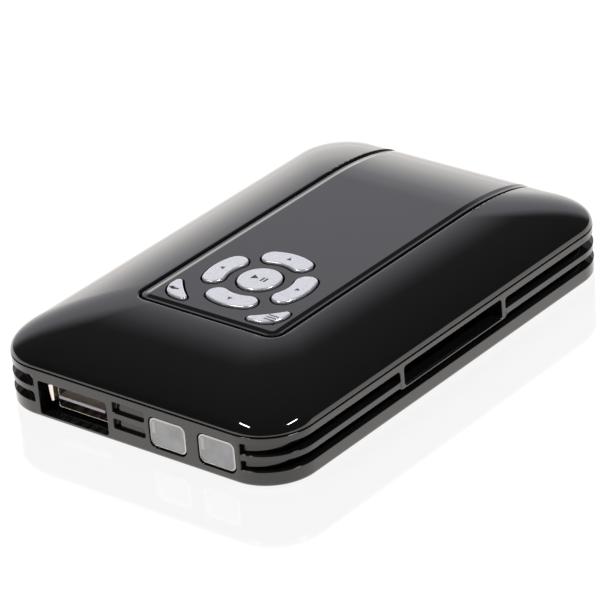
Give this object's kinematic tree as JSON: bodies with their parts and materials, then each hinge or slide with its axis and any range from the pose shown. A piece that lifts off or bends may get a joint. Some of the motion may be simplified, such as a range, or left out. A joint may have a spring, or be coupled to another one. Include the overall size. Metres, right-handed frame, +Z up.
{
  "type": "hard drive media player",
  "caption": "Palm-sized glossy black media player with a domed top, a round keypad in a centre strip, a front USB port, clear front windows and a side card slot.",
  "frame": {"origin": "on the floor under the middle of the player", "axes": "+X to the card slot side, +Y from the front face to the back face, +Z up"},
  "size_m": [0.072, 0.1102, 0.0187],
  "materials": {
    "gloss_black_plastic": "high gloss, injection moulded",
    "silver_key_paint": "satin silver paint on plastic",
    "board_laminate": "green solder mask",
    "chip_epoxy": "moulded epoxy",
    "tongue_plastic": "pale moulded plastic",
    "plated_steel": "nickel-plated sheet",
    "socket_plastic": "moulded",
    "finned_aluminium": "satin",
    "clear_plastic": "clear moulded plastic",
    "foot_rubber": "matte",
    "blackened_screw": "blackened"
  },
  "bodies": {
    "player": {"av_jack": "socket_plastic", "board_screw_back_right": "plated_steel", "board_screw_front_left": "plated_steel", "bottom_case": "gloss_black_plastic", "capacitor_back": "finned_aluminium", "capacitor_front": "finned_aluminium", "card_base": "socket_plastic", "card_cage": "plated_steel", "case_screw_back_left": "blackened_screw", "case_screw_back_right": "blackened_screw", "case_screw_front_left": "blackened_screw", "case_screw_front_right": "blackened_screw", "control_panel": "gloss_black_plastic", "crystal": "plated_steel", "flash_chip": "chip_epoxy", "foot_back_left": "foot_rubber", "foot_back_right": "foot_rubber", "foot_front_left": "foot_rubber", "foot_front_right": "foot_rubber", "heat_sink": "finned_aluminium", "inductor": "chip_epoxy", "ir_receiver": "chip_epoxy", "key_board": "board_laminate", "link_header": "socket_plastic", "link_socket": "socket_plastic", "main_board": "board_laminate", "memory_chip_left": "chip_epoxy", "memory_chip_right": "chip_epoxy", "power_jack": "socket_plastic", "processor": "chip_epoxy", "status_light": "clear_plastic", "switch_body_back": "chip_epoxy", "switch_body_center": "chip_epoxy", "switch_body_corner_left": "chip_epoxy", "switch_body_corner_right": "chip_epoxy", "switch_body_front": "chip_epoxy", "switch_body_left": "chip_epoxy", "switch_body_right": "chip_epoxy", "top_shell": "gloss_black_plastic", "usb_shell": "plated_steel", "usb_tongue": "tongue_plastic", "video_shell": "plated_steel", "video_tongue": "socket_plastic", "window_left": "clear_plastic", "window_right": "clear_plastic"},
    "key_center": {"key_center": "silver_key_paint", "switch_plunger_center": "tongue_plastic"},
    "key_left": {"key_left": "silver_key_paint", "switch_plunger_left": "tongue_plastic"},
    "key_right": {"key_right": "silver_key_paint", "switch_plunger_right": "tongue_plastic"},
    "key_front": {"key_front": "silver_key_paint", "switch_plunger_front": "tongue_plastic"},
    "key_back": {"key_back": "silver_key_paint", "switch_plunger_back": "tongue_plastic"},
    "key_corner_left": {"key_corner_left": "silver_key_paint", "switch_plunger_corner_left": "tongue_plastic"},
    "key_corner_right": {"key_corner_right": "silver_key_paint", "switch_plunger_corner_right": "tongue_plastic"}
  },
  "joints": [
    {"name": "key_center_press", "type": "slide", "parent": "player", "child": "key_center", "axis": [0, 0, -1], "range_m": [0, 0.0003], "stiffness_N_per_m": 1000, "springref_m": -0.0003},
    {"name": "key_left_press", "type": "slide", "parent": "player", "child": "key_left", "axis": [0, 0, -1], "range_m": [0, 0.0003], "stiffness_N_per_m": 1000, "springref_m": -0.0003},
    {"name": "key_right_press", "type": "slide", "parent": "player", "child": "key_right", "axis": [0, 0, -1], "range_m": [0, 0.0003], "stiffness_N_per_m": 1000, "springref_m": -0.0003},
    {"name": "key_front_press", "type": "slide", "parent": "player", "child": "key_front", "axis": [0, 0, -1], "range_m": [0, 0.0003], "stiffness_N_per_m": 1000, "springref_m": -0.0003},
    {"name": "key_back_press", "type": "slide", "parent": "player", "child": "key_back", "axis": [0, 0, -1], "range_m": [0, 0.0003], "stiffness_N_per_m": 1000, "springref_m": -0.0003},
    {"name": "key_corner_left_press", "type": "slide", "parent": "player", "child": "key_corner_left", "axis": [0, 0, -1], "range_m": [0, 0.0003], "stiffness_N_per_m": 1000, "springref_m": -0.0003},
    {"name": "key_corner_right_press", "type": "slide", "parent": "player", "child": "key_corner_right", "axis": [0, 0, -1], "range_m": [0, 0.0003], "stiffness_N_per_m": 1000, "springref_m": -0.0003}
  ]
}
